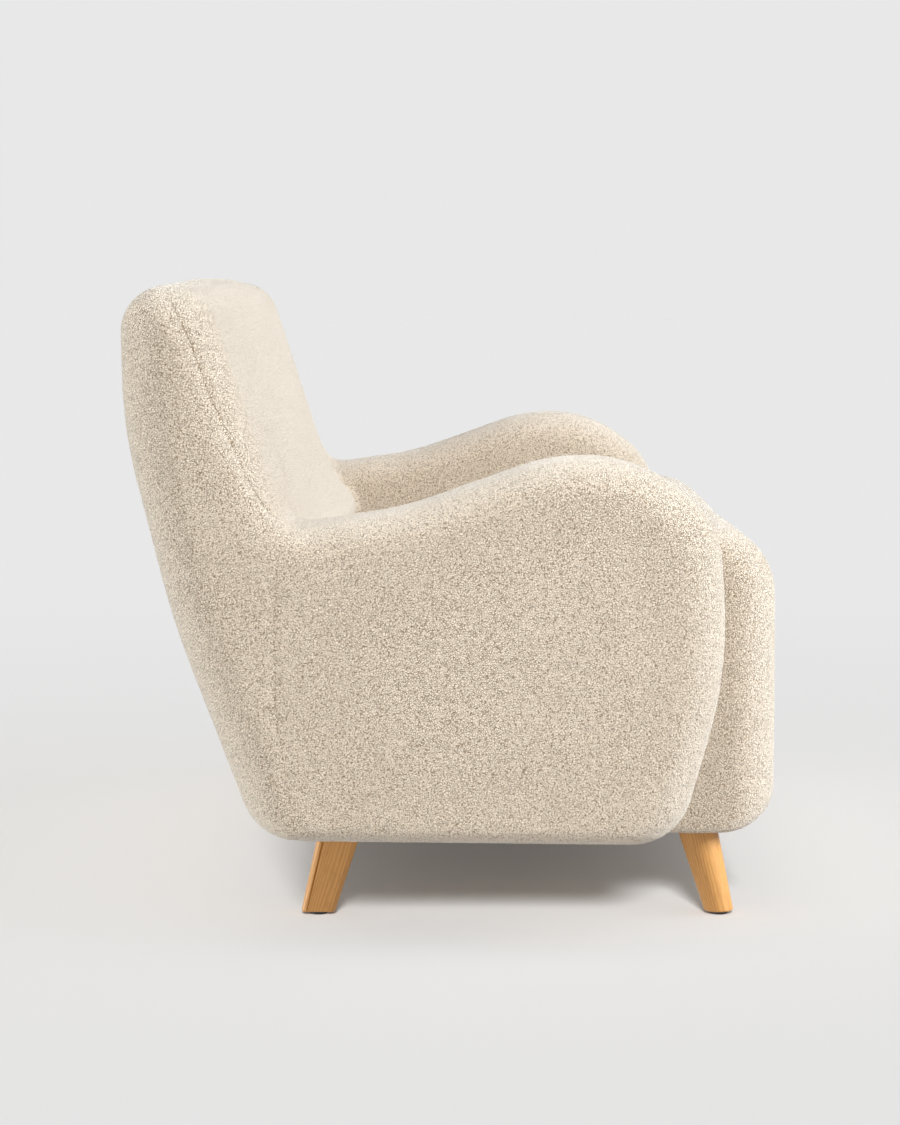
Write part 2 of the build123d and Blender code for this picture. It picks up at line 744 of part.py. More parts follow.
with BuildPart() as lower_rail:
    lower_z = (lower_rail_floor, lower_rail_floor + back_rail_height)
    block((-rail_half, rail_half), (lower_rail_face, lower_rail_back), lower_z)
    for notch in rib_notches:
        add(notch, mode=Mode.SUBTRACT)
    cut_bolt_holes()
keep(lower_rail, "back_lower_rail")

with BuildPart() as webbing:
    strap_zone = (lumbar_low + back_rail_height, top_rail_low)
    strap_step = (strap_zone[1] - strap_zone[0]) / webbing_count
    for i in range(webbing_count):
        middle = strap_zone[0] + strap_step * (i + 0.5)
        strap = (middle - webbing_width / 2, middle + webbing_width / 2)
        lean_board(rail_half, *strap, -webbing_wall, 0)
keep(webbing, "back_webbing")

# Back foam wraps the ribs on the front, top, rear and ends
room_front = webbing_wall + fit_gap
foam_room_insets = [-rib_foot_lift, -fit_gap, -fit_gap, -fit_gap, -room_front, -room_front]
with BuildPart() as back_foam:
    add(back_form(lining))
    room_half = rail_half + fit_gap
    add(outline_prism(rib_corners, foam_room_insets, -room_half, room_half), mode=Mode.SUBTRACT)
keep(back_foam, "back_foam")

# The back's cover is sewn from an inside and an outside panel along the seam at its ends
seam_top = overall_height + cover_wall
seam_mid = overall_height - seam_mid_drop
lean_share = (seam_mid - arm_rear_height) / (overall_height - arm_rear_height)
lean_front = rear - back_lean_run + (back_lean_run - back_top_thickness) * lean_share
seam_corners = [
    (front, 0),
    (rear - seam_root_run, 0),
    (rear - seam_waist_run, arm_waist_height),
    (rear - seam_turn_run, arm_rear_height),
    (lean_front + seam_setback, seam_mid),
    (rear - seam_top_run, seam_top),
    (front, seam_top),
]
with BuildPart() as seam_side:
    with BuildSketch(Plane.YZ.offset(-overall_width)):
        with BuildLine():
            Polyline(*seam_corners, close=True)
        make_face()
    extrude(amount=2 * overall_width)

with BuildPart() as whole_back_cover:
    add(back_form(0))
    add(back_form(cover_wall), mode=Mode.SUBTRACT)
    cut_bolt_holes()

with BuildPart() as inside_back:
    add(whole_back_cover.part)
    add(seam_side.part, mode=Mode.INTERSECT)
keep(inside_back, "inside_back_cover")

with BuildPart() as outside_back:
    add(whole_back_cover.part)
    add(seam_side.part, mode=Mode.SUBTRACT)
keep(outside_back, "outside_back_cover")

# Bolts with washers and tee nuts that hold the back to the rear rail
with BuildPart() as back_bolts:
    for x in back_bolt_xs:
        head_face = rear_rail_face - washer_wall
        rod((x, head_face - bolt_head_height, back_bolt_z), (x, head_face, back_bolt_z), bolt_head)
        rod((x, head_face, back_bolt_z), (x, lower_rail_back + nut_flange_wall, back_bolt_z), bolt_diameter)
keep(back_bolts, "back_bolts")

with BuildPart() as back_washers:
    for x in back_bolt_xs:
        start, end = (x, rear_rail_face - washer_wall, back_bolt_z), (x, rear_rail_face, back_bolt_z)
        rod(start, end, washer_diameter)
        rod(start, end, bolt_hole, Mode.SUBTRACT)
keep(back_washers, "back_bolt_washers")

with BuildPart() as back_nuts:
    for x in back_bolt_xs:
        start, end = (x, lower_rail_back, back_bolt_z), (x, lower_rail_back + nut_flange_wall, back_bolt_z)
        rod(start, end, nut_flange)
        rod(start, end, bolt_hole, Mode.SUBTRACT)
keep(back_nuts, "back_bolt_nuts")
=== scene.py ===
import json
import math
from collections import namedtuple

import bmesh
import bpy
import numpy as np
from bpy.props import FloatProperty, FloatVectorProperty, PointerProperty
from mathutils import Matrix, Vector
from mathutils.bvhtree import BVHTree


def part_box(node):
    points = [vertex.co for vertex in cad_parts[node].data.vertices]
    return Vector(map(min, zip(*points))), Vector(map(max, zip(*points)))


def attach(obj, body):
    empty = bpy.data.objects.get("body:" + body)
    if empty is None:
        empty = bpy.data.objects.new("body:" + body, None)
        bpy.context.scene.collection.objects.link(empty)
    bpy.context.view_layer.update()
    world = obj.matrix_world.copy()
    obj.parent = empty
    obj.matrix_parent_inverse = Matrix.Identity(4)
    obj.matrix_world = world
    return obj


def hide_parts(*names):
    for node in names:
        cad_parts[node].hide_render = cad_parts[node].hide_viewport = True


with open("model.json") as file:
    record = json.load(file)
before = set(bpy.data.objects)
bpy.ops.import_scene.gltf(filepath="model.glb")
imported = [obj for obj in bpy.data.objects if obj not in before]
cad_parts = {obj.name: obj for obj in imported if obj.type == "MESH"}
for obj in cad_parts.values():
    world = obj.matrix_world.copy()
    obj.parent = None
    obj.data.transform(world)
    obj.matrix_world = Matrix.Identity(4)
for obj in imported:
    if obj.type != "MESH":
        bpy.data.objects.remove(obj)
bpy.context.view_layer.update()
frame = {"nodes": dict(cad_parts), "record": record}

bl_info = {
    "name": "Curled-Pile Sofa",
    "version": (1, 0, 0),
    "blender": (4, 5, 0),
    "location": "3D View > Sidebar > Sofa",
    "description": "Dresses the sofa's frame with padded pieces, oak legs and a studio stage",
    "category": "Object",
}

# The construction's own box, and the places that the padding is drawn from
SEAT_LOW, SEAT_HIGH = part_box("seat_cover")
ARM_LOW, ARM_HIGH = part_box("left_arm_cover")
OUTSIDE_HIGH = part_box("outside_back_cover")[1]
FRONT = SEAT_LOW.y
REAR = OUTSIDE_HIGH.y
SEAT_BASE = SEAT_LOW.z
BASE = ARM_LOW.z
TOP = OUTSIDE_HIGH.z
HALF_WIDTH = OUTSIDE_HIGH.x
ARM_INNER = ARM_LOW.x
ARM_PEAK = ARM_HIGH.z
ARM_REAR_HEIGHT = ARM_PEAK - 0.087
SEAT_TOP = ARM_PEAK - 0.091
SEAT_HALF = SEAT_HIGH.x
SEAT_REAR = SEAT_HIGH.y

# Side outlines as corners, anticlockwise with y to the right and z up. Each corner has the radius of its arc,
# and how far the side after it is drawn in round the ends and crowned between them. A side with no crown lies
# against its neighbour or on the frame.
Corner = namedtuple("Corner", "y z radius draw crown")
ARM_CORNERS = [
    Corner(FRONT + 0.130, BASE - 0.004, 0.074, 0.020, 0),
    Corner(REAR - 0.218, BASE + 0.001, 0.005, 0, 0),
    Corner(REAR - 0.190, BASE + 0.253, 0.450, 0, 0),
    Corner(REAR - 0.210, ARM_REAR_HEIGHT + 0.004, 0.005, 0.036, 0.003),
    Corner(REAR - 0.343, ARM_REAR_HEIGHT + 0.023, 0.400, 0.036, 0.003),
    Corner(FRONT + 0.287, ARM_PEAK, 0.240, 0.038, 0.003),
    Corner(FRONT + 0.184, ARM_PEAK, 0.190, 0.042, 0.003),
    Corner(FRONT + 0.080, ARM_PEAK - 0.076, 0.112, 0.046, 0.003),
    Corner(FRONT + 0.069, BASE + 0.207, 0.510, 0.046, 0.003),
]
BACK_CORNERS = [
    Corner(REAR - 0.216, BASE + 0.001, 0.005, 0.014, 0),
    Corner(REAR - 0.163, BASE + 0.003, 0.110, 0.054, 0.002),
    Corner(REAR - 0.064, BASE + 0.264, 1.200, 0.058, 0.002),
    Corner(REAR - 0.005, TOP - 0.180, 0.600, 0.066, 0.002),
    Corner(REAR, TOP + 0.008, 0.092, 0.062, 0.014),
    Corner(REAR - 0.108, TOP + 0.008, 0.096, 0.054, 0.005),
    Corner(REAR - 0.204, ARM_REAR_HEIGHT, 0.280, 0, 0),
    Corner(REAR - 0.256, ARM_REAR_HEIGHT - 0.056, 0.045, 0, 0),
    Corner(REAR - 0.216, BASE + 0.218, 0.120, 0, 0),
]
SEAT_CORNERS = [
    Corner(FRONT - 0.006, SEAT_BASE - 0.005, 0.055, 0, 0),
    Corner(SEAT_REAR, SEAT_BASE - 0.002, 0.005, 0, 0),
    Corner(SEAT_REAR, SEAT_BASE + 0.218, 0.120, 0, 0),
    Corner(SEAT_REAR - 0.026, SEAT_BASE + 0.310, 0.012, 0.026, 0.004),
    Corner(FRONT + 0.220, SEAT_TOP, 0.700, 0.026, 0.004),
    Corner(FRONT - 0.006, SEAT_TOP, 0.090, 0.054, 0.001),
]
ARM_REACH = 0.050
BACK_REACH = 0.070
SEAT_REACH = 0.065

# Fineness of the forms
ARC_STEPS = 14
EDGE_STEPS = 8
CROWN_STEPS = 12
LEAST_RADIUS = 0.003
EDGE_USE = 0.96
SIM_FRAMES = 16
SIM_QUALITY = 4
CLOTH_STIFFNESS = 60
EASE_ROUNDS = 60
SOFT_ROUNDS = 8

# The hollow where each arm's top runs into the back: its place, its reach, how far it stays from the arm's
# inner side, and how many rounds smooth it
JOIN_PLACE = (0.0, REAR - 0.204, ARM_REAR_HEIGHT)
JOIN_REACH = 0.085
JOIN_CLEARANCE = 0.03
JOIN_ROUNDS = 160

# Pattern of the pile: cells and clumps in one curl's length, how far the gaps between the cells wander, how
# wide and at least how deep they are, and how light the lowest curls stay. In the colour the gaps are painted
# shade, darker where they are deeper.
CURL_CELLS = 1.6
CLUMP_CELLS = 0.45
CURL_WANDER = 1.0
GAP_WIDTH = 0.23
GAP_DEPTH = 0.5
CURL_LEVEL = 0.95

# Finish of the pile: fine fuzz on the curls, wide patches of tone, depth of the bump, and the width of the
# seams' line and its painted shade
FUZZ_SCALE = 620.0
FUZZ_SHARE = 0.45
PATCH_SCALE = 14.0
PATCH_TINT = 0.025
CURL_BUMP = 0.0016
SEAM_LINE = 0.0025
SEAM_SHADE = 0.35

# Grain of the woods: how it is stretched along the piece, its waver and its pores, and how far the colour
# goes to the dark one in the pores and the rings
GRAIN_STRETCH = (1.0, 1.0, 0.06)
PORE_STRETCH = (1.0, 1.0, 0.035)
WAVER_SCALE = 45.0
WAVER_REACH = 0.012
PORE_SCALE = 900.0
PORE_SHARE = 0.55
RING_SHARE = 0.55

# How far the legs lean from the floor up, for each metre: the front ones to the rear, the rear ones to the
# front, and all of them inwards. Then the density of the oak's rings, and its roughness.
FRONT_LEG_LEAN = 0.264
REAR_LEG_LEAN = -0.283
LEG_SPLAY = 0.113
OAK_RINGS = 130.0
OAK_ROUGHNESS = 0.42

# Finishes of the inner pieces by slot: woods with the density of their rings, then plain finishes with the
# scale of their grain, their roughness and their metallic share
TIMBER_ROUGHNESS = 0.6
SPECKLE_BUMP = 0.0003
WOODS = [
    ("frame_timber", "Frame Timber", (0.60, 0.43, 0.24, 1), (0.45, 0.30, 0.15, 1), 30.0),
    ("plywood", "Plywood", (0.66, 0.49, 0.29, 1), (0.50, 0.34, 0.18, 1), 60.0),
]
FINISHES = [
    (
        "underside_cloth", "Underside Cloth",
        (0.035, 0.035, 0.036, 1), (0.015, 0.015, 0.016, 1), 900.0, 0.85, 0.0,
    ),
    ("felt", "Insulator Felt", (0.30, 0.29, 0.28, 1), (0.16, 0.155, 0.15, 1), 500.0, 0.9, 0.0),
    ("webbing", "Elastic Webbing", (0.10, 0.095, 0.09, 1), (0.05, 0.047, 0.044, 1), 800.0, 0.8, 0.0),
    ("spring_steel", "Spring Steel", (0.36, 0.36, 0.37, 1), (0.22, 0.22, 0.23, 1), 300.0, 0.4, 1.0),
    ("zinc_steel", "Zinc Plate", (0.66, 0.66, 0.67, 1), (0.5, 0.5, 0.52, 1), 300.0, 0.35, 1.0),
    ("clip", "Spring Clip", (0.75, 0.75, 0.70, 1), (0.62, 0.62, 0.58, 1), 300.0, 0.5, 0.0),
    ("foam", "Seat Foam", (0.82, 0.76, 0.58, 1), (0.70, 0.63, 0.44, 1), 700.0, 0.9, 0.0),
]

# Stage: shares of the floor's tone that come from the world, its own glow and its two suns, with the ways
# they come from and their spreads in degrees. Then the floor's reach, and its slightly deeper tone near the
# sofa: painted shade that offsets the light the sofa throws back onto the floor there.
AMBIENT = 0.30
GLOW = 0.05
WASH = 0.62
SKIM = 0.08
WASH_WAY = Vector((-1.0, 0.0, 0.52)).normalized()
SKIM_WAY = Vector((-0.2, -1.0, 0.6)).normalized()
WASH_SPREAD = 12.0
SKIM_SPREAD = 80.0
FLOOR_REACH = 60.0
NEAR_SHADE_TONE = 0.95
NEAR_RADIUS = 0.8
FAR_RADIUS = 4.0

# Suns that don't reach the floor, with the way each comes from, its strength, spread in degrees and colour,
# and the softbox beside them
Sun = namedtuple("Sun", "name way energy spread colour")
SUNS = [
    Sun("Side", (-1.0, 0.6, 0.35), 0.85, 120.0, (1.0, 1.0, 1.0)),
    Sun("Top", (0.0, -0.3, 1.0), 1.18, 100.0, (1.0, 1.0, 1.0)),
    Sun("Rim", (-0.2, 1.0, 0.10), 4.00, 60.0, (0.95, 1.0, 1.0)),
]
KEY_PLACE = Vector((-1.7, -3.8, 2.4))
KEY_ENERGY = 305.0
KEY_SIZE = 1.6
KEY_COLOUR = (0.90, 0.96, 1.0)

# Camera: its place, its lens and sensor in millimetres, and the degrees that it looks down
CAMERA_PLACE = (-4.560, 0.0035, 0.8047)
CAMERA_LENS = 102.4
CAMERA_SENSOR = 36.0
CAMERA_DOWN = 5.063
CAMERA_CLIP = 200.0

# Seams as heights with their places from front to rear: on the back's ends, over its top, and behind the
# arms. Each shows beyond a distance from the middle, with its own strength, in the valley drawn into the
# cover and in the painted shade along its line.
BACK_SEAM = [
    (0.516, 0.210),
    (0.543, 0.233),
    (0.582, 0.253),
    (0.622, 0.271),
    (0.668, 0.291),
    (0.732, 0.314),
    (0.776, 0.335),
]
TOP_SEAM = [(0.760, 0.327), (0.776, 0.335), (0.793, 0.348), (0.816, 0.372)]
ARM_SEAM = [(0.120, 0.185), (0.220, 0.203), (0.340, 0.214), (0.440, 0.212), (0.515, 0.194)]
ARM_SEAM_DEPTH = 0.012
SEAMS = [
    (BACK_SEAM, HALF_WIDTH - BACK_REACH, 0.85),
    (TOP_SEAM, 0.0, 0.3),
    (ARM_SEAM, HALF_WIDTH - ARM_SEAM_DEPTH, 0.35),
]


class SofaSizes(bpy.types.PropertyGroup):
    """Sizes of the padding and the pile."""

    slack: FloatProperty(
        name="Slack", description="How far the padding starts inside its cover", default=0.001, unit="LENGTH"
    )
    swell: FloatProperty(
        name="Swell", description="How far the padding swells in the middle of its widest face",
        default=0.008, unit="LENGTH",
    )
    pressure: FloatProperty(name="Pressure", description="Pressure that fills the padding", default=4.0)
    sim_voxel: FloatProperty(
        name="Cloth Grain", description="Mesh size of the cloth while it is filled",
        default=0.014, unit="LENGTH",
    )
    skin_voxel: FloatProperty(
        name="Skin Grain", description="Mesh size of the finished cover", default=0.0045, unit="LENGTH"
    )
    curl: FloatProperty(
        name="Curl", description="Length that the pile's pattern is measured by",
        default=0.0042, unit="LENGTH",
    )
    pile: FloatProperty(
        name="Pile", description="Height of the pile's clumps in the mesh", default=0.0014, unit="LENGTH"
    )
    seam_depth: FloatProperty(
        name="Seam Depth", description="How deep the back's seam is drawn in", default=0.0026, unit="LENGTH"
    )
    seam_width: FloatProperty(
        name="Seam Width", description="Half the width of the valley along the seam",
        default=0.008, unit="LENGTH",
    )


class SofaColours(bpy.types.PropertyGroup):
    """Colours of the visible finishes."""

    curl_light: FloatVectorProperty(
        name="Curl", description="Colour of the pile on its curls", subtype="COLOR", size=4,
        default=(0.79, 0.668, 0.535, 1),
    )
    # Painted shade in the gaps between the curls
    curl_gap_shade: FloatVectorProperty(
        name="Curl Gap Shade", description="Colour between the curls", subtype="COLOR", size=4,
        default=(0.27, 0.19, 0.114, 1),
    )
    oak_light: FloatVectorProperty(
        name="Oak", description="Colour of the oak", subtype="COLOR", size=4, default=(0.575, 0.282, 0.078, 1)
    )
    oak_dark: FloatVectorProperty(
        name="Oak Grain", description="Colour of the oak's grain", subtype="COLOR", size=4,
        default=(0.375, 0.167, 0.043, 1),
    )
    backdrop: FloatProperty(
        name="Backdrop", description="Tone of the floor and backdrop", default=0.807, min=0, max=1
    )


def inset_outline(corners, insets):
    """Corner points and radii with each side moved inwards by its own inset.

    Side i runs from corner i to the next one. Every radius is limited by the sides beside it.
    """
    count = len(corners)
    sides = []
    for i in range(count):
        corner, after = corners[i], corners[(i + 1) % count]
        along = Vector((after.y - corner.y, after.z - corner.z)).normalized()
        inward = Vector((-along.y, along.x))
        sides.append((Vector((corner.y, corner.z)) + inward * insets[i], along))
    points, radii, turns = [], [], []
    for i in range(count):
        (p, d), (q, e) = sides[i - 1], sides[i]
        turn = math.atan2(d.cross(e), d.dot(e))
        points.append(p + d * ((q - p).cross(e) / d.cross(e)))
        shift = (insets[i - 1] + insets[i]) / 2
        radii.append(max(corners[i].radius - math.copysign(shift, turn), LEAST_RADIUS))
        turns.append(turn)
    tangents = [radius * math.tan(abs(turn) / 2) for radius, turn in zip(radii, turns)]
    shares = [1.0] * count
    for i in range(count):
        after = (i + 1) % count
        room = EDGE_USE * (points[after] - points[i]).length / (tangents[i] + tangents[after])
        shares[i] = min(shares[i], room)
        shares[after] = min(shares[after], room)
    return points, [radius * share for radius, share in zip(radii, shares)], turns


def rounded_loop(corners, insets):
    """Points (y, z) round a closed outline whose corners are arcs."""
    points, radii, turns = inset_outline(corners, insets)
    loop = []
    for i, (corner, radius, turn) in enumerate(zip(points, radii, turns)):
        along = (corner - points[i - 1]).normalized()
        side = Vector((-along.y, along.x)) * math.copysign(1, turn)
        start = corner - along * radius * math.tan(abs(turn) / 2)
        for k in range(ARC_STEPS + 1):
            angle = abs(turn) * k / ARC_STEPS
            loop.append(start + along * radius * math.sin(angle) + side * radius * (1 - math.cos(angle)))
    return loop


def lofted(name, rows):
    """Closed mesh through rows of points, with a face at each end."""
    mesh = bpy.data.meshes.new(name)
    bm = bmesh.new()
    rings = [[bm.verts.new(point) for point in row] for row in rows]
    for ring, following in zip(rings, rings[1:]):
        for i in range(len(ring)):
            bm.faces.new((ring[i - 1], ring[i], following[i], following[i - 1]))
    bm.faces.new(rings[0])
    bm.faces.new(reversed(rings[-1]))
    bmesh.ops.recalc_face_normals(bm, faces=bm.faces)
    bm.to_mesh(mesh)
    bm.free()
    piece = bpy.data.objects.new(name, mesh)
    bpy.context.scene.collection.objects.link(piece)
    return piece


def padded_form(name, corners, span, reach):
    """Padded form across the width: crowned in the middle, drawn in round both ends."""
    slack = bpy.context.scene.sofa_sizes.slack
    start, end = span
    middle, half = (start + end) / 2, (end - start) / 2
    places = []
    for k in range(EDGE_STEPS + 1):
        angle = math.radians(90) * (1 - k / EDGE_STEPS)
        places.append((start + reach * (1 - math.sin(angle)), 1 - math.cos(angle)))
    shoulder = start + reach
    for k in range(1, CROWN_STEPS):
        places.append((shoulder + 2 * (middle - shoulder) * k / CROWN_STEPS, 0))
    places += [(2 * middle - x, drawn) for x, drawn in reversed(places[: EDGE_STEPS + 1])]
    rows = []
    for x, drawn in places:
        flat = ((x - middle) / half) ** 2
        insets = [side.draw * drawn + side.crown * flat + slack * (side.crown > 0) for side in corners]
        rows.append([(x, y, z) for y, z in rounded_loop(corners, insets)])
    return lofted(name, rows)


def baked(piece):
    """Turn a piece and its modifiers into a plain mesh."""
    graph = bpy.context.evaluated_depsgraph_get()
    mesh = bpy.data.meshes.new_from_object(piece.evaluated_get(graph))
    piece.modifiers.clear()
    old = piece.data
    piece.data = mesh
    bpy.data.meshes.remove(old)
    return piece


def remeshed(source, name, voxel):
    """Evenly meshed copy of a form."""
    copy = bpy.data.objects.new(name, source.data.copy())
    bpy.context.scene.collection.objects.link(copy)
    remesh = copy.modifiers.new("Even Mesh", "REMESH")
    remesh.mode = "VOXEL"
    remesh.voxel_size = voxel
    remesh.use_smooth_shade = True
    soften = copy.modifiers.new("Soften", "SMOOTH")
    soften.iterations = SOFT_ROUNDS
    return baked(copy)


def joined(piece):
    """Smooth the crease where each arm's top runs into the end of the back."""
    places = coordinates(piece.data)
    away = places - np.array(JOIN_PLACE)
    near = 1 - np.linalg.norm(away[:, 1:], axis=1) / JOIN_REACH
    weights = np.clip(2 * near, 0, 1) * (np.abs(places[:, 0]) > ARM_INNER + JOIN_CLEARANCE)
    melting = np.flatnonzero(weights)
    if not len(melting):
        return piece
    group = piece.vertex_groups.new(name="join")
    for i in melting:
        group.add([int(i)], float(weights[i]), "REPLACE")
    melt = piece.modifiers.new("Melt", "SMOOTH")
    melt.iterations = JOIN_ROUNDS
    melt.vertex_group = group.name
    return baked(piece)


def discard(piece):
    """Remove a helper object with its mesh."""
    mesh = piece.data
    bpy.data.objects.remove(piece)
    bpy.data.meshes.remove(mesh)


def coordinates(mesh):
    """Vertex places of a mesh as an array."""
    places = np.zeros(len(mesh.vertices) * 3, np.float32)
    mesh.vertices.foreach_get("co", places)
    return places.reshape(-1, 3)


def eased(mesh, moves, fixed, rounds):
    """Moves of a mesh's points, evened out between neighbours while the fixed points stay."""
    ends = np.zeros(len(mesh.edges) * 2, np.int64)
    mesh.edges.foreach_get("vertices", ends)
    ends = ends.reshape(-1, 2)
    near = np.maximum(np.bincount(ends.ravel(), minlength=len(moves)), 1)[:, None]
    for _ in range(rounds):
        total = np.zeros_like(moves)
        np.add.at(total, ends[:, 0], moves[ends[:, 1]])
        np.add.at(total, ends[:, 1], moves[ends[:, 0]])
        moves = (moves + total / near) / 2
        moves[fixed] = 0
    return moves


def filled(form, neighbours):
    """Copy of a form, with how far each point moves when its cloth is filled as an attribute."""
    sizes = bpy.context.scene.sofa_sizes
    cloth = remeshed(form, form.name + "_fill", sizes.sim_voxel)
    rest = coordinates(cloth.data)
    held = cloth.vertex_groups.new(name="held")
    graph = bpy.context.evaluated_depsgraph_get()
    trees = [BVHTree.FromObject(other, graph) for other in neighbours]
    touching = []
    for i, place in enumerate(rest):
        near = any(tree.find_nearest(Vector(place), sizes.sim_voxel)[0] for tree in trees)
        if near or place[2] < BASE + sizes.sim_voxel:
            touching.append(i)
    held.add(touching, 1.0, "REPLACE")
    padding = cloth.modifiers.new("Padding", "CLOTH")
    padding.settings.quality = SIM_QUALITY
    padding.settings.vertex_group_mass = held.name
    padding.settings.tension_stiffness = CLOTH_STIFFNESS
    padding.settings.compression_stiffness = CLOTH_STIFFNESS
    padding.settings.use_pressure = True
    padding.settings.uniform_pressure_force = sizes.pressure
    padding.settings.effector_weights.gravity = 0
    padding.collision_settings.use_collision = False
    padding.point_cache.frame_start = 1
    padding.point_cache.frame_end = SIM_FRAMES
    scene = bpy.context.scene
    for number in range(1, SIM_FRAMES + 1):
        scene.frame_set(number)
    graph = bpy.context.evaluated_depsgraph_get()
    moved = coordinates(cloth.evaluated_get(graph).data) - rest
    scene.frame_set(1)
    cloth.modifiers.clear()
    moved = eased(cloth.data, moved, touching, EASE_ROUNDS)
    moved *= sizes.swell / max(float(np.linalg.norm(moved, axis=1).max()), sizes.swell)
    attribute = cloth.data.attributes.new("swell", "FLOAT_VECTOR", "POINT")
    attribute.data.foreach_set("vector", moved.astype(np.float32).ravel())
    return cloth


class Graph:
    """Short hand for building a node tree."""

    def __init__(self, tree):
        self.tree = tree

    def add(self, kind, settings=None, **inputs):
        """Node of a kind with its settings, and its inputs linked or set by name."""
        node = self.tree.nodes.new(kind)
        for key, value in (settings or {}).items():
            setattr(node, key, value)
        for key, value in inputs.items():
            self.put(node, key.replace("_", " "), value)
        return node

    def put(self, node, key, value):
        """Link or set one input, by name or by number."""
        socket = node.inputs[key]
        if isinstance(value, bpy.types.NodeSocket):
            self.tree.links.new(value, socket)
        else:
            socket.default_value = value

    def sum(self, operation, first, second=0.0, third=0.0, clamp=False):
        """Result of a Math node."""
        node = self.add("ShaderNodeMath", {"operation": operation, "use_clamp": clamp})
        for number, value in enumerate((first, second, third)):
            self.put(node, number, value)
        return node.outputs[0]

    def vector(self, operation, first, second=(0, 0, 0), scale=1.0):
        """Result of a Vector Math node."""
        node = self.add("ShaderNodeVectorMath", {"operation": operation})
        self.put(node, 0, first)
        if operation == "SCALE":
            self.put(node, "Scale", scale)
        else:
            self.put(node, 1, second)
        return node.outputs["Value" if operation in ("LENGTH", "DOT_PRODUCT") else "Vector"]

    def span(self, value, low, high, to_low=0.0, to_high=1.0, kind="SMOOTHSTEP"):
        """Value moved from one range to another."""
        node = self.add("ShaderNodeMapRange", {"interpolation_type": kind})
        for number, item in enumerate((value, low, high, to_low, to_high)):
            self.put(node, number, item)
        return node.outputs[0]

    def ramp(self, value, stops):
        """Colour ramp through stops of place and colour."""
        node = self.add("ShaderNodeValToRGB", Fac=value)
        elements = node.color_ramp.elements
        while len(elements) < len(stops):
            elements.new(0.5)
        for element, (place, colour) in zip(elements, stops):
            element.position = place
            element.color = colour
        return node.outputs["Color"]

    def mix(self, factor, first, second):
        """Mix of two colours."""
        node = self.add("ShaderNodeMix", {"data_type": "RGBA"})
        self.put(node, 0, factor)
        self.put(node, 6, first)
        self.put(node, 7, second)
        return node.outputs[2]

    def seam(self, place, route, inside):
        """How far a place is from a seam that shows only beyond a distance from the middle."""
        split = self.add("ShaderNodeSeparateXYZ", Vector=place).outputs
        lows, highs = route[0], route[-1]
        depths = [y for z, y in route]
        low, high = min(depths), max(depths)
        height = self.span(split["Z"], lows[0], highs[0], kind="LINEAR")
        node = self.add("ShaderNodeFloatCurve", Factor=1.0, Value=height)
        points = node.mapping.curves[0].points
        while len(points) < len(route):
            points.new(0.5, 0.5)
        for point, (z, y) in zip(points, route):
            point.location = ((z - lows[0]) / (highs[0] - lows[0]), (y - low) / (high - low))
        node.mapping.update()
        run = self.span(node.outputs[0], 0.0, 1.0, low, high, kind="LINEAR")
        away = self.sum("ABSOLUTE", self.sum("SUBTRACT", split["Y"], run))
        below = self.sum("LESS_THAN", split["Z"], lows[0])
        above = self.sum("GREATER_THAN", split["Z"], highs[0])
        within = self.sum("LESS_THAN", self.sum("ABSOLUTE", split["X"]), inside)
        for outside in (below, above, within):
            away = self.sum("ADD", away, outside)
        return away

    def seams(self, place, width):
        """Mask of all the seams: full on the back's ends, weaker over its top and behind the arms."""
        shown = 0.0
        for route, inside, weight in SEAMS:
            line = self.span(self.seam(place, route, inside), 0.0, width, weight, 0.0)
            shown = self.sum("MAXIMUM", shown, line)
        return shown


def curl_field(graph, place, curl):
    """Curls of the pile: value from 0 in the winding gaps to 1 on the curls. The colour paints shade into the
    gaps from it, and the bump takes it as height.
    """
    cells = graph.sum("DIVIDE", CURL_CELLS, curl)
    lumps = graph.add("ShaderNodeTexNoise", Vector=place, Scale=cells, Detail=1.0)
    shift = graph.vector("SUBTRACT", lumps.outputs["Color"], (0.5, 0.5, 0.5))
    shift = graph.vector("SCALE", shift, scale=graph.sum("DIVIDE", CURL_WANDER, cells))
    loops = graph.add("ShaderNodeTexVoronoi", {"feature": "DISTANCE_TO_EDGE"}, Scale=cells)
    graph.put(loops, "Vector", graph.vector("ADD", place, shift))
    gaps = graph.span(loops.outputs["Distance"], 0.0, GAP_WIDTH, 1.0, 0.0)
    depth = graph.span(lumps.outputs["Fac"], 0.35, 0.62, GAP_DEPTH, 1.0, kind="LINEAR")
    level = graph.span(lumps.outputs["Fac"], 0.3, 0.7, CURL_LEVEL, 1.0, kind="LINEAR")
    return graph.sum("MULTIPLY", level, graph.sum("SUBTRACT", 1.0, graph.sum("MULTIPLY", gaps, depth)))


def group_tree(name, kind, inputs, outputs):
    """Empty node group with its sockets, and its input and output nodes."""
    tree = bpy.data.node_groups.new(name, kind)
    for label, socket_kind, default in inputs:
        socket = tree.interface.new_socket(label, in_out="INPUT", socket_type=socket_kind)
        if default is not None:
            socket.default_value = default
    for label, socket_kind in outputs:
        tree.interface.new_socket(label, in_out="OUTPUT", socket_type=socket_kind)
    source = tree.nodes.new("NodeGroupInput")
    sink = tree.nodes.new("NodeGroupOutput")
    return tree, source.outputs, sink


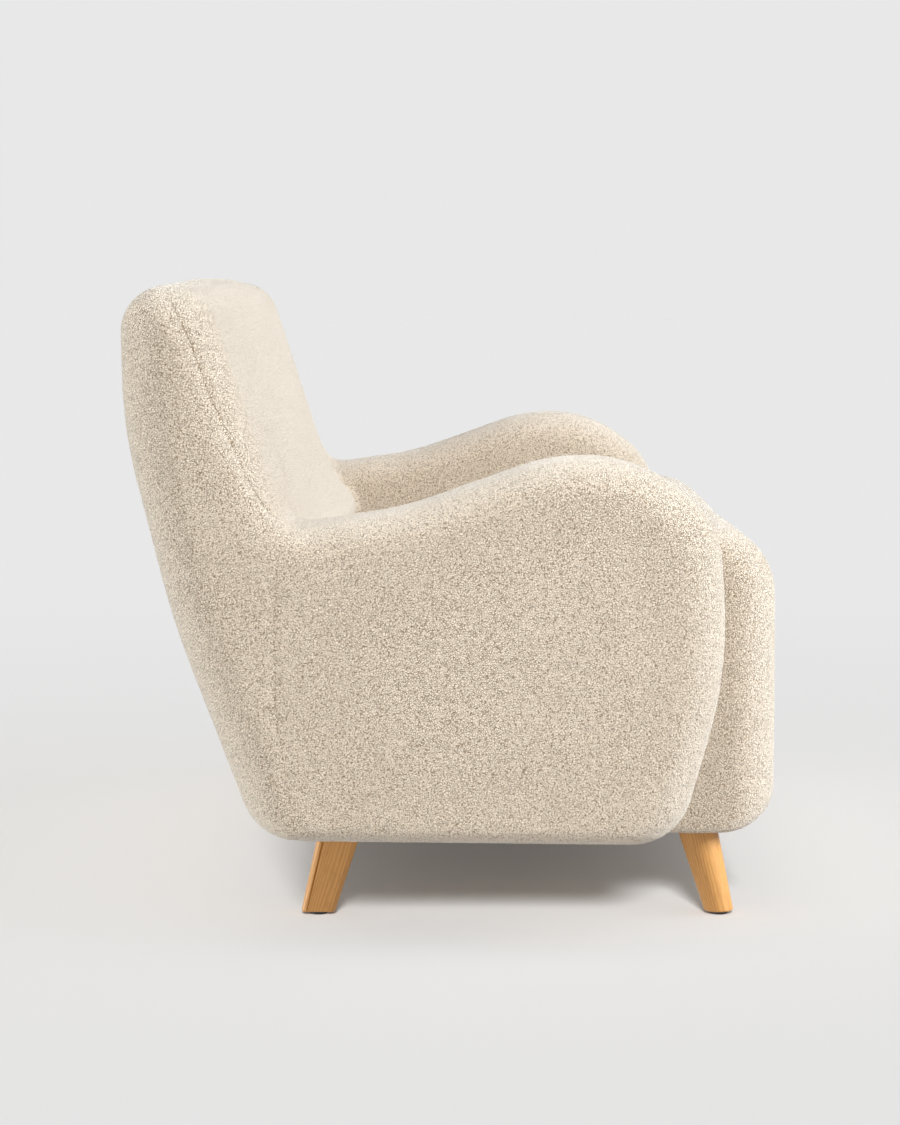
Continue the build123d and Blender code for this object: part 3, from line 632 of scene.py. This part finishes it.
def pile_tree():
    """Geometry nodes that swell a cover, draw in its seams and raise the clumps of its pile."""
    name = "Pile Cover"
    if name in bpy.data.node_groups:
        return bpy.data.node_groups[name]
    tree, source, sink = group_tree(
        name,
        "GeometryNodeTree",
        [
            ("Geometry", "NodeSocketGeometry", None),
            ("Filling", "NodeSocketObject", None),
            ("Curl", "NodeSocketFloat", 0.006),
            ("Pile", "NodeSocketFloat", 0.001),
            ("Seam Depth", "NodeSocketFloat", 0.0),
            ("Seam Width", "NodeSocketFloat", 0.008),
            ("Material", "NodeSocketMaterial", None),
        ],
        [("Geometry", "NodeSocketGeometry")],
    )
    graph = Graph(tree)
    filling = graph.add("GeometryNodeObjectInfo", Object=source["Filling"]).outputs["Geometry"]
    swell = graph.add("GeometryNodeInputNamedAttribute", {"data_type": "FLOAT_VECTOR"}, Name="swell")
    place = graph.add("GeometryNodeInputPosition").outputs[0]
    sample = graph.add("GeometryNodeSampleNearestSurface", {"data_type": "FLOAT_VECTOR"}, Mesh=filling)
    graph.put(sample, "Value", swell.outputs["Attribute"])
    graph.put(sample, "Sample Position", place)
    swollen = graph.add("GeometryNodeSetPosition", Geometry=source["Geometry"])
    graph.put(swollen, "Offset", sample.outputs["Value"])
    valley = graph.seams(place, source["Seam Width"])
    clumps = graph.add("ShaderNodeTexNoise", Vector=place, Detail=1.0)
    graph.put(clumps, "Scale", graph.sum("DIVIDE", CLUMP_CELLS, source["Curl"]))
    rise = graph.sum("MULTIPLY", graph.sum("SUBTRACT", clumps.outputs["Fac"], 0.5), source["Pile"])
    rise = graph.sum("SUBTRACT", rise, graph.sum("MULTIPLY", valley, source["Seam Depth"]))
    normal = graph.add("GeometryNodeInputNormal").outputs[0]
    lift = graph.vector("SCALE", normal, scale=rise)
    raised = graph.add("GeometryNodeSetPosition", Geometry=swollen.outputs[0], Offset=lift)
    whole = graph.add("GeometryNodeRealizeInstances", Geometry=raised.outputs[0])
    finish = graph.add("GeometryNodeSetMaterial", Geometry=whole.outputs[0], Material=source["Material"])
    graph.put(sink, "Geometry", finish.outputs[0])
    return tree


def covered(form, name, neighbours, seam_depth, nodes):
    """Finished padded piece: the form filled, meshed finely, and given its pile."""
    sizes = bpy.context.scene.sofa_sizes
    filling = filled(form, neighbours)
    piece = joined(remeshed(form, name, sizes.skin_voxel * (1)))
    piece.data.materials.clear()
    pile = piece.modifiers.new("Pile", "NODES")
    pile.node_group = pile_tree()
    values = {
        "Filling": filling,
        "Curl": sizes.curl,
        "Pile": sizes.pile,
        "Seam Depth": seam_depth,
        "Seam Width": sizes.seam_width,
        "Material": pile_material(),
    }
    for item in pile.node_group.interface.items_tree:
        if item.in_out == "INPUT" and item.name in values:
            pile[item.identifier] = values[item.name]
    baked(piece)
    discard(filling)
    piece.data.shade_smooth()
    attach(piece, "root")
    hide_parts(*nodes)
    return piece


def new_material(name):
    """Empty material with its principled shader, as a graph, the shader and the material."""
    material = bpy.data.materials.new(name)
    material.use_nodes = True
    tree = material.node_tree
    shader = tree.nodes["Principled BSDF"]
    return Graph(tree), shader, material


def object_place(graph):
    """Object coordinates."""
    return graph.add("ShaderNodeTexCoord").outputs["Object"]


def curl_group():
    """Shader group of the curled pile: masks of the curls and the seams, which the colour turns into painted
    shade in the curls' gaps and along the seams, and a height for the bump.
    """
    name = "Curled Pile"
    if name in bpy.data.node_groups:
        return bpy.data.node_groups[name]
    tree, source, sink = group_tree(
        name,
        "ShaderNodeTree",
        [("Vector", "NodeSocketVector", None), ("Curl", "NodeSocketFloat", 0.006)],
        [("Curls", "NodeSocketFloat"), ("Height", "NodeSocketFloat"), ("Seam", "NodeSocketFloat")],
    )
    graph = Graph(tree)
    curls = curl_field(graph, source["Vector"], source["Curl"])
    fuzz = graph.add("ShaderNodeTexNoise", Vector=source["Vector"], Detail=2.0, Scale=FUZZ_SCALE)
    height = graph.sum("MULTIPLY_ADD", fuzz.outputs["Fac"], FUZZ_SHARE, curls)
    graph.put(sink, "Curls", curls)
    graph.put(sink, "Height", height)
    graph.put(sink, "Seam", graph.seams(source["Vector"], SEAM_LINE))
    return tree


def pile_material():
    """Cream curled pile."""
    name = "Cream Curled Pile"
    if name in bpy.data.materials:
        return bpy.data.materials[name]
    sizes = bpy.context.scene.sofa_sizes
    colours = bpy.context.scene.sofa_colours
    graph, shader, material = new_material(name)
    place = object_place(graph)
    pile = graph.add("ShaderNodeGroup", {"node_tree": curl_group()}, Vector=place, Curl=sizes.curl)
    patches = graph.add("ShaderNodeTexNoise", Vector=place, Scale=PATCH_SCALE, Detail=3.0)
    tint = graph.span(patches.outputs["Fac"], 0.3, 0.7, -PATCH_TINT, PATCH_TINT, kind="LINEAR")
    shade = graph.sum("ADD", pile.outputs["Curls"], tint)
    # Painted shade along the seams: the colour is darkened on their lines
    seams = graph.sum("MULTIPLY", pile.outputs["Seam"], SEAM_SHADE)
    shade = graph.sum("SUBTRACT", shade, seams, clamp=True)
    # The ramp's dark end is painted shade in the gaps between the curls
    colour = graph.ramp(shade, [(0.05, colours.curl_gap_shade), (0.74, colours.curl_light)])
    bump = graph.add("ShaderNodeBump", Strength=0.85, Distance=CURL_BUMP, Height=pile.outputs["Height"])
    graph.put(shader, "Base Color", colour)
    graph.put(shader, "Normal", bump.outputs[0])
    graph.put(shader, "Roughness", 0.92)
    graph.put(shader, "Specular IOR Level", 0.15)
    graph.put(shader, "Sheen Weight", 1.0)
    graph.put(shader, "Sheen Roughness", 0.35)
    graph.put(shader, "Sheen Tint", (1.0, 0.97, 0.92, 1))
    return material


def grain_group():
    """Shader group of wood grain that runs up a leaning piece: masks of its rings and its pores."""
    name = "Wood Grain"
    if name in bpy.data.node_groups:
        return bpy.data.node_groups[name]
    tree, source, sink = group_tree(
        name,
        "ShaderNodeTree",
        [
            ("Vector", "NodeSocketVector", None),
            ("Lean", "NodeSocketVector", None),
            ("Rings", "NodeSocketFloat", 150.0),
        ],
        [("Rings", "NodeSocketFloat"), ("Pores", "NodeSocketFloat")],
    )
    graph = Graph(tree)
    split = graph.add("ShaderNodeSeparateXYZ", Vector=source["Vector"]).outputs
    leaning = graph.vector("SCALE", source["Lean"], scale=split["Z"])
    upright = graph.vector("SUBTRACT", source["Vector"], leaning)
    stretched = graph.vector("MULTIPLY", upright, GRAIN_STRETCH)
    waver = graph.add("ShaderNodeTexNoise", Vector=stretched, Scale=WAVER_SCALE, Detail=3.0)
    shift = graph.vector("SCALE", waver.outputs["Color"], scale=WAVER_REACH)
    rings = graph.add("ShaderNodeTexWave", {"wave_type": "BANDS", "bands_direction": "DIAGONAL"})
    graph.put(rings, "Vector", graph.vector("ADD", stretched, shift))
    graph.put(rings, "Scale", source["Rings"])
    graph.put(rings, "Distortion", 1.5)
    graph.put(rings, "Detail", 2.0)
    drawn = graph.vector("MULTIPLY", upright, PORE_STRETCH)
    pores = graph.add("ShaderNodeTexNoise", Vector=drawn, Scale=PORE_SCALE, Detail=2.0)
    graph.put(sink, "Rings", rings.outputs["Fac"])
    graph.put(sink, "Pores", graph.span(pores.outputs["Fac"], 0.52, 0.68))
    return tree


def blended(first, second, share):
    """Colour between two others."""
    return [a + (b - a) * share for a, b in zip(first, second)]


def wood_material(name, light, dark, lean, rings, roughness):
    """Wood with grain along a leaning piece."""
    graph, shader, material = new_material(name)
    grain = graph.add("ShaderNodeGroup", {"node_tree": grain_group()}, Vector=object_place(graph))
    graph.put(grain, "Lean", lean)
    graph.put(grain, "Rings", rings)
    colour = graph.ramp(grain.outputs["Rings"], [(0.0, blended(light, dark, RING_SHARE)), (0.7, light)])
    colour = graph.mix(graph.sum("MULTIPLY", grain.outputs["Pores"], PORE_SHARE), colour, dark)
    bump = graph.add("ShaderNodeBump", {"invert": True}, Strength=0.25, Distance=0.0004)
    graph.put(bump, "Height", grain.outputs["Pores"])
    graph.put(shader, "Base Color", colour)
    graph.put(shader, "Normal", bump.outputs[0])
    graph.put(shader, "Roughness", graph.span(grain.outputs["Pores"], 0, 1, roughness, roughness + 0.2))
    return material


def speckled_material(name, light, dark, scale, roughness, metallic=0.0):
    """Plain finish with a fine irregular grain: cloth, felt, foam, plastic or metal."""
    graph, shader, material = new_material(name)
    noise = graph.add("ShaderNodeTexNoise", Vector=object_place(graph), Scale=scale, Detail=3.0)
    colour = graph.ramp(noise.outputs["Fac"], [(0.3, dark), (0.7, light)])
    bump = graph.add("ShaderNodeBump", Strength=0.5, Distance=SPECKLE_BUMP, Height=noise.outputs["Fac"])
    graph.put(shader, "Base Color", colour)
    graph.put(shader, "Normal", bump.outputs[0])
    graph.put(shader, "Roughness", graph.span(noise.outputs["Fac"], 0, 1, roughness - 0.1, roughness + 0.1))
    graph.put(shader, "Metallic", metallic)
    return material


def finish_node(name, material):
    """Give a construction node its material."""
    node = frame["nodes"][name]
    node.data.materials.clear()
    node.data.materials.append(material)


def nodes_of(slot):
    """Names of the nodes with a material slot."""
    return [part["node"] for part in frame["record"]["subparts"] if part["material_slot"] == slot]


class SOFA_OT_padding(bpy.types.Operator):
    """Build the back with its arms, and the seat, as padded pieces with a curled pile"""

    bl_idname = "sofa.padding"
    bl_label = "Back, Arms and Seat"

    def execute(self, context):
        sizes = context.scene.sofa_sizes
        body = padded_form("body_form", BACK_CORNERS, (-HALF_WIDTH, HALF_WIDTH), BACK_REACH)
        for span in ((ARM_INNER, HALF_WIDTH), (-HALF_WIDTH, -ARM_INNER)):
            arm = padded_form("arm_form", ARM_CORNERS, span, ARM_REACH)
            join = body.modifiers.new("Arm", "BOOLEAN")
            join.operation = "UNION"
            join.object = arm
            baked(body)
            discard(arm)
        seat = padded_form("seat_form", SEAT_CORNERS, (-SEAT_HALF, SEAT_HALF), SEAT_REACH)
        nodes = ["inside_back_cover", "outside_back_cover", "back_foam"]
        for side in ("left", "right"):
            nodes += [side + "_arm_cover", side + "_arm_foam"]
        covered(body, "back_and_arms", [seat], sizes.seam_depth, nodes)
        covered(seat, "seat", [body], 0.0, ["seat_cover", "seat_foam"])
        discard(body)
        discard(seat)
        return {"FINISHED"}


class SOFA_OT_legs(bpy.types.Operator):
    """Finish the oak legs and their glides"""

    bl_idname = "sofa.legs"
    bl_label = "Legs and Glides"

    def execute(self, context):
        colours = context.scene.sofa_colours
        for side, sign in (("left", 1), ("right", -1)):
            for place, lean_y in (("front", FRONT_LEG_LEAN), ("rear", REAR_LEG_LEAN)):
                name = f"Oak {side} {place}"
                lean = (-LEG_SPLAY * sign, lean_y, 0.0)
                oak = wood_material(name, colours.oak_light, colours.oak_dark, lean, OAK_RINGS, OAK_ROUGHNESS)
                finish_node(f"{side}_{place}_leg", oak)
        glide = speckled_material("Black Glide", (0.03, 0.03, 0.03, 1), (0.018, 0.018, 0.018, 1), 400.0, 0.5)
        finish_node("leg_glides", glide)
        return {"FINISHED"}


class SOFA_OT_inner_frame(bpy.types.Operator):
    """Finish the pieces inside and under the padding"""

    bl_idname = "sofa.inner_frame"
    bl_label = "Inner Frame"

    def execute(self, context):
        upright = (0.0, 0.0, 0.0)
        for slot, name, light, dark, rings in WOODS:
            self.finish(slot, wood_material(name, light, dark, upright, rings, TIMBER_ROUGHNESS))
        for slot, name, light, dark, scale, roughness, metallic in FINISHES:
            self.finish(slot, speckled_material(name, light, dark, scale, roughness, metallic))
        return {"FINISHED"}

    def finish(self, slot, material):
        """Give every node of a slot its material."""
        for name in nodes_of(slot):
            finish_node(name, material)


class SOFA_OT_stage(bpy.types.Operator):
    """Build the floor, the backdrop, the lights and the camera"""

    bl_idname = "sofa.stage"
    bl_label = "Stage"

    def execute(self, context):
        tone = context.scene.sofa_colours.backdrop
        floor = self.floor(context, (tone - GLOW) / (AMBIENT + WASH + SKIM))
        floor_only = self.receivers("Floor Only", floor, "INCLUDE")
        not_floor = self.receivers("Not Floor", floor, "EXCLUDE")
        aim = Vector((0, 0, TOP / 2))
        energy = WASH * math.pi / WASH_WAY.z
        wash = self.lamp(context, "Wash", aim + WASH_WAY, aim, energy, WASH_SPREAD, floor_only)
        wash.light_linking.blocker_collection = self.underside()
        energy = SKIM * math.pi / SKIM_WAY.z
        self.lamp(context, "Skim", aim + SKIM_WAY, aim, energy, SKIM_SPREAD, floor_only)
        for sun in SUNS:
            lamp = self.lamp(context, sun.name, aim + Vector(sun.way), aim, sun.energy, sun.spread, not_floor)
            lamp.data.color = sun.colour
        key = self.lamp(context, "Key", KEY_PLACE, aim, KEY_ENERGY, None, not_floor)
        key.data.color = KEY_COLOUR
        key.data.size = KEY_SIZE
        self.world(context, tone)
        self.camera(context)
        context.scene.view_settings.view_transform = "Standard"
        return {"FINISHED"}

    def receivers(self, name, floor, state):
        """Collection that lets a lamp reach only the floor, or everything else."""
        collection = bpy.data.collections.new(name)
        collection.objects.link(floor)
        collection.collection_objects[0].light_linking.link_state = state
        return collection

    def underside(self):
        """Collection of the pieces that shade the floor under the sofa."""
        collection = bpy.data.collections.new("Underside")
        names = nodes_of("underside_cloth") + nodes_of("oak")
        for side in ("left", "right"):
            names += [side + "_arm_inner_panel", side + "_arm_outer_panel", side + "_side_seat_rail"]
        for name in names:
            collection.objects.link(frame["nodes"][name])
        return collection

    def lamp(self, context, name, place, aim, energy, spread, receivers):
        """Sun of a spread in degrees, or a softbox where there is none, aimed at a place."""
        data = bpy.data.lights.new(name, "SUN" if spread else "AREA")
        data.energy = energy
        if spread:
            data.angle = math.radians(spread)
        lamp = bpy.data.objects.new(name, data)
        lamp.location = place
        lamp.rotation_euler = (place - aim).to_track_quat("Z", "Y").to_euler()
        lamp.light_linking.receiver_collection = receivers
        context.scene.collection.objects.link(lamp)
        return lamp

    def floor(self, context, albedo):
        """Wide pale floor that runs into the backdrop."""
        mesh = bpy.data.meshes.new("floor")
        reach = FLOOR_REACH
        corners = [(-reach, -reach, 0), (reach, -reach, 0), (reach, reach, 0), (-reach, reach, 0)]
        mesh.from_pydata(corners, [], [(0, 1, 2, 3)])
        floor = bpy.data.objects.new("floor", mesh)
        context.scene.collection.objects.link(floor)
        graph, shader, material = new_material("Studio Floor")
        away = graph.vector("LENGTH", object_place(graph))
        # Painted shade: the floor is a little darker near the sofa, to offset the light the sofa throws back
        # onto it
        tone = graph.span(away, NEAR_RADIUS, FAR_RADIUS, NEAR_SHADE_TONE * albedo, albedo)
        graph.put(shader, "Base Color", tone)
        graph.put(shader, "Roughness", 1.0)
        graph.put(shader, "Specular IOR Level", 0.0)
        graph.put(shader, "Emission Color", (1, 1, 1, 1))
        graph.put(shader, "Emission Strength", GLOW)
        mesh.materials.append(material)
        return floor

    def world(self, context, tone):
        """Even light from all round, with the backdrop's tone where it is seen."""
        world = bpy.data.worlds.new("Studio")
        world.use_nodes = True
        graph = Graph(world.node_tree)
        light = world.node_tree.nodes["Background"]
        light.inputs["Color"].default_value = (1, 1, 1, 1)
        light.inputs["Strength"].default_value = AMBIENT
        seen = graph.add("ShaderNodeBackground", Color=(tone, tone, tone, 1), Strength=1.0)
        path = graph.add("ShaderNodeLightPath").outputs
        ray = graph.sum("MAXIMUM", path["Is Camera Ray"], path["Is Glossy Ray"])
        ray = graph.sum("MAXIMUM", ray, path["Is Transmission Ray"])
        mix = graph.add("ShaderNodeMixShader", Fac=ray)
        graph.put(mix, 1, light.outputs[0])
        graph.put(mix, 2, seen.outputs[0])
        graph.put(world.node_tree.nodes["World Output"], "Surface", mix.outputs[0])
        context.scene.world = world

    def camera(self, context):
        """Camera that looks along the width, a little downwards."""
        data = bpy.data.cameras.new("Camera")
        data.lens = CAMERA_LENS
        data.sensor_width = CAMERA_SENSOR
        data.clip_end = CAMERA_CLIP
        camera = bpy.data.objects.new("Camera", data)
        camera.location = CAMERA_PLACE
        camera.rotation_euler = (math.radians(90 - CAMERA_DOWN), 0, math.radians(-90))
        context.scene.collection.objects.link(camera)
        context.scene.camera = camera


class SOFA_PT_panel(bpy.types.Panel):
    """Steps and sizes of the sofa"""

    bl_idname = "SOFA_PT_panel"
    bl_label = "Sofa"
    bl_space_type = "VIEW_3D"
    bl_region_type = "UI"
    bl_category = "Sofa"

    def draw(self, context):
        for operator in OPERATORS:
            self.layout.operator(operator.bl_idname)
        for group in (context.scene.sofa_sizes, context.scene.sofa_colours):
            for name in group.__annotations__:
                self.layout.prop(group, name)


OPERATORS = (SOFA_OT_padding, SOFA_OT_legs, SOFA_OT_inner_frame, SOFA_OT_stage)
CLASSES = (SofaSizes, SofaColours, *OPERATORS, SOFA_PT_panel)


def register():
    for item in CLASSES:
        bpy.utils.register_class(item)
    bpy.types.Scene.sofa_sizes = PointerProperty(type=SofaSizes)
    bpy.types.Scene.sofa_colours = PointerProperty(type=SofaColours)


def unregister():
    del bpy.types.Scene.sofa_colours
    del bpy.types.Scene.sofa_sizes
    for item in reversed(CLASSES):
        bpy.utils.unregister_class(item)


def main():
    register()
    bpy.ops.sofa.padding()
    bpy.ops.sofa.legs()
    bpy.ops.sofa.inner_frame()
    bpy.ops.sofa.stage()


if __name__ == "__main__":
    main()
